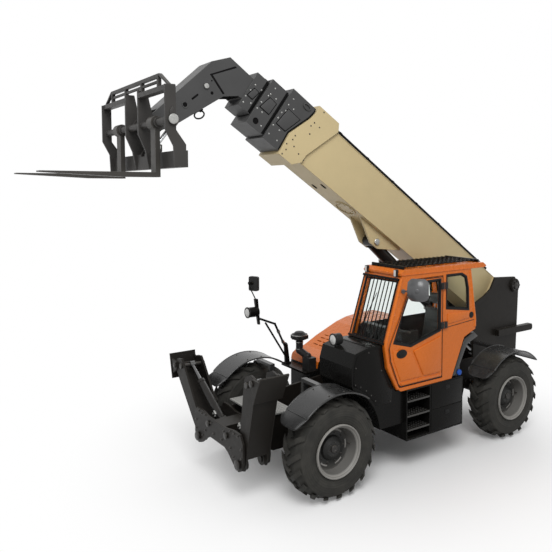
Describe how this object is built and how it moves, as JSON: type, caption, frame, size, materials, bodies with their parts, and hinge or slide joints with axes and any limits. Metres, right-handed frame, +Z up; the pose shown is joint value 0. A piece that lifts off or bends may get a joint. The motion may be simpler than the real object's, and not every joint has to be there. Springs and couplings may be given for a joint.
{
  "type": "telehandler",
  "caption": "Telescopic handler with a cab beside a four-section boom, a gooseneck with fork carriage, four steered wheels and fold-down front stabilizers.",
  "frame": {"origin": "ground level on the centre plane, midway between the two axles", "axes": "+X forward towards the forks, +Y to the cab side (left), +Z up"},
  "size_m": [8.3304, 3.232, 5.6486],
  "materials": {
    "frame_black": "satin",
    "body_orange": "gloss",
    "boom_tan": "satin",
    "boom_grey": "satin",
    "fork_black": "satin",
    "deck_grey": "satin",
    "panel_black": "matte",
    "seat_black": "matte",
    "window": "gloss",
    "lamp": "gloss",
    "engine_grey": "rough",
    "ballast": "rough",
    "barrel_black": "satin",
    "rod_chrome": "polished",
    "pin_steel": "machined",
    "tyre": "matte",
    "rim_grey": "satin"
  },
  "bodies": {
    "chassis": {"main_frame": "frame_black", "counterweight": "ballast", "stabilizer_frame": "frame_black", "front_deck": "deck_grey", "front_axle": "frame_black", "rear_axle": "frame_black", "cab_frame": "body_orange", "cab_glass": "window", "cab_guard": "fork_black", "operator_seat": "seat_black", "cab_controls": "panel_black", "front_cowl": "panel_black", "headlamp": "lamp", "step_box": "panel_black", "front_fenders": "panel_black", "rear_fenders": "panel_black", "engine_bay": "panel_black", "engine_block": "engine_grey", "air_intake": "panel_black", "right_post": "panel_black", "cab_mirror": "panel_black"},
    "engine_hood": {"engine_hood": "body_orange"},
    "cab_door": {"cab_door": "body_orange", "door_glass": "window"},
    "boom_base": {"boom_base": "boom_tan", "hose_tray": "panel_black"},
    "boom_second": {"boom_second": "boom_grey"},
    "boom_third": {"boom_third": "boom_grey"},
    "boom_fourth": {"boom_fourth": "boom_grey", "boom_nose": "boom_grey"},
    "nose_pin": {"nose_pin": "pin_steel"},
    "fork_carriage": {"fork_carriage": "fork_black", "forks": "fork_black"},
    "lift_barrel": {"lift_barrel": "barrel_black"},
    "lift_rod": {"lift_rod": "rod_chrome"},
    "tilt_barrel": {"tilt_barrel": "barrel_black"},
    "tilt_rod": {"tilt_rod": "rod_chrome"},
    "stabilizer_left": {"stabilizer_left": "frame_black"},
    "stab_barrel_left": {"stab_barrel_left": "barrel_black"},
    "stab_rod_left": {"stab_rod_left": "rod_chrome"},
    "stabilizer_right": {"stabilizer_right": "frame_black"},
    "stab_barrel_right": {"stab_barrel_right": "barrel_black"},
    "stab_rod_right": {"stab_rod_right": "rod_chrome"},
    "knuckle_fl": {"knuckle_fl": "frame_black"},
    "wheel_fl": {"tyre_fl": "tyre", "rim_fl": "rim_grey"},
    "knuckle_fr": {"knuckle_fr": "frame_black"},
    "wheel_fr": {"tyre_fr": "tyre", "rim_fr": "rim_grey"},
    "knuckle_rl": {"knuckle_rl": "frame_black"},
    "wheel_rl": {"tyre_rl": "tyre", "rim_rl": "rim_grey"},
    "knuckle_rr": {"knuckle_rr": "frame_black"},
    "wheel_rr": {"tyre_rr": "tyre", "rim_rr": "rim_grey"}
  },
  "joints": [
    {"name": "boom_lift", "type": "hinge", "parent": "chassis", "child": "boom_base", "pos_m": [-2.805, 0, 2.278], "axis": [0, -1, 0], "range_deg": [-33.9, 36.1]},
    {"name": "boom_extend", "type": "slide", "parent": "boom_base", "child": "boom_second", "axis": [0.83, 0, 0.5577], "range_m": [0, 3.9]},
    {"name": "third_extend", "type": "slide", "parent": "boom_second", "child": "boom_third", "axis": [0.83, 0, 0.5577], "range_m": [0, 3.9]},
    {"name": "fourth_extend", "type": "slide", "parent": "boom_third", "child": "boom_fourth", "axis": [0.83, 0, 0.5577], "range_m": [0, 3.9]},
    {"name": "fork_level", "type": "hinge", "parent": "boom_fourth", "child": "nose_pin", "pos_m": [3.74535, 0, 4.73992], "axis": [0, 1, 0], "range_deg": [-33.9, 36.1]},
    {"name": "fork_tilt", "type": "hinge", "parent": "nose_pin", "child": "fork_carriage", "pos_m": [3.74535, 0, 4.73992], "axis": [0, 1, 0], "range_deg": [-15, 20]},
    {"name": "lift_swing", "type": "hinge", "parent": "boom_base", "child": "lift_barrel", "pos_m": [0.22313, 0, 3.18633], "axis": [0, -1, 0], "range_deg": [-3.7, 3.5]},
    {"name": "lift_stroke", "type": "slide", "parent": "lift_barrel", "child": "lift_rod", "axis": [-0.7597, 0, -0.6503], "range_m": [-0.75, 0.79]},
    {"name": "tilt_swing", "type": "hinge", "parent": "boom_fourth", "child": "tilt_barrel", "pos_m": [3.05424, 0, 5.25743], "axis": [0, 1, 0], "range_deg": [-5, 5.3]},
    {"name": "tilt_stroke", "type": "slide", "parent": "tilt_barrel", "child": "tilt_rod", "axis": [0.615, 0, -0.7885], "range_m": [-0.146, 0.137]},
    {"name": "stabilizer_left", "type": "hinge", "parent": "chassis", "child": "stabilizer_left", "pos_m": [2.65, 0.575, 0.548], "axis": [-1, 0, 0], "range_deg": [0, 95]},
    {"name": "stab_swing_left", "type": "hinge", "parent": "chassis", "child": "stab_barrel_left", "pos_m": [2.65, 0.26, 0.818], "axis": [-1, 0, 0], "range_deg": [0, 82]},
    {"name": "stab_stroke_left", "type": "slide", "parent": "stab_barrel_left", "child": "stab_rod_left", "axis": [0, 0.5211, 0.8535], "range_m": [0, 0.59]},
    {"name": "stabilizer_right", "type": "hinge", "parent": "chassis", "child": "stabilizer_right", "pos_m": [2.65, -0.575, 0.548], "axis": [1, 0, 0], "range_deg": [-30, 65]},
    {"name": "stab_swing_right", "type": "hinge", "parent": "chassis", "child": "stab_barrel_right", "pos_m": [2.65, -0.26, 0.818], "axis": [1, 0, 0], "range_deg": [-24.4, 53]},
    {"name": "stab_stroke_right", "type": "slide", "parent": "stab_barrel_right", "child": "stab_rod_right", "axis": [0, -0.8686, 0.4955], "range_m": [-0.18, 0.39]},
    {"name": "steer_fl", "type": "hinge", "parent": "chassis", "child": "knuckle_fl", "pos_m": [1.755, 0.9, 0.656], "axis": [0, 0, 1], "range_deg": [-30, 30]},
    {"name": "spin_fl", "type": "hinge", "parent": "knuckle_fl", "child": "wheel_fl", "pos_m": [1.755, 1, 0.656], "axis": [0, 1, 0], "continuous": true},
    {"name": "steer_fr", "type": "hinge", "parent": "chassis", "child": "knuckle_fr", "pos_m": [1.755, -0.9, 0.656], "axis": [0, 0, 1], "range_deg": [-30, 30]},
    {"name": "spin_fr", "type": "hinge", "parent": "knuckle_fr", "child": "wheel_fr", "pos_m": [1.755, -1, 0.656], "axis": [0, 1, 0], "continuous": true},
    {"name": "steer_rl", "type": "hinge", "parent": "chassis", "child": "knuckle_rl", "pos_m": [-1.755, 0.9, 0.656], "axis": [0, 0, 1], "range_deg": [-30, 30]},
    {"name": "spin_rl", "type": "hinge", "parent": "knuckle_rl", "child": "wheel_rl", "pos_m": [-1.755, 1, 0.656], "axis": [0, 1, 0], "continuous": true},
    {"name": "steer_rr", "type": "hinge", "parent": "chassis", "child": "knuckle_rr", "pos_m": [-1.755, -0.9, 0.656], "axis": [0, 0, 1], "range_deg": [-30, 30]},
    {"name": "spin_rr", "type": "hinge", "parent": "knuckle_rr", "child": "wheel_rr", "pos_m": [-1.755, -1, 0.656], "axis": [0, 1, 0], "continuous": true},
    {"name": "cab_door", "type": "hinge", "parent": "chassis", "child": "cab_door", "pos_m": [-0.1632, 1.19, 2], "axis": [0, 0, 1], "range_deg": [0, 100]},
    {"name": "engine_hood", "type": "hinge", "parent": "chassis", "child": "engine_hood", "pos_m": [-0.005, -0.425, 1.813], "axis": [-1, 0, 0], "range_deg": [0, 60]}
  ],
  "couplings": [
    {"joint": "third_extend", "follows": "boom_extend", "ratio": 1},
    {"joint": "fourth_extend", "follows": "boom_extend", "ratio": 1},
    {"joint": "fork_level", "follows": "boom_lift", "ratio": 1},
    {"joint": "lift_swing", "follows": "boom_lift", "ratio": -0.1},
    {"joint": "lift_stroke", "follows": "boom_lift", "m_per_rad": 1.25},
    {"joint": "tilt_swing", "follows": "boom_lift", "ratio": 0.145},
    {"joint": "tilt_stroke", "follows": "boom_lift", "m_per_rad": -0.23},
    {"joint": "stab_swing_left", "follows": "stabilizer_left", "ratio": 0.86},
    {"joint": "stab_stroke_left", "follows": "stabilizer_left", "m_per_rad": 0.35},
    {"joint": "stab_swing_right", "follows": "stabilizer_right", "ratio": 0.81},
    {"joint": "stab_stroke_right", "follows": "stabilizer_right", "m_per_rad": 0.34},
    {"joint": "steer_fr", "follows": "steer_fl", "ratio": 1},
    {"joint": "steer_rr", "follows": "steer_rl", "ratio": 1}
  ]
}
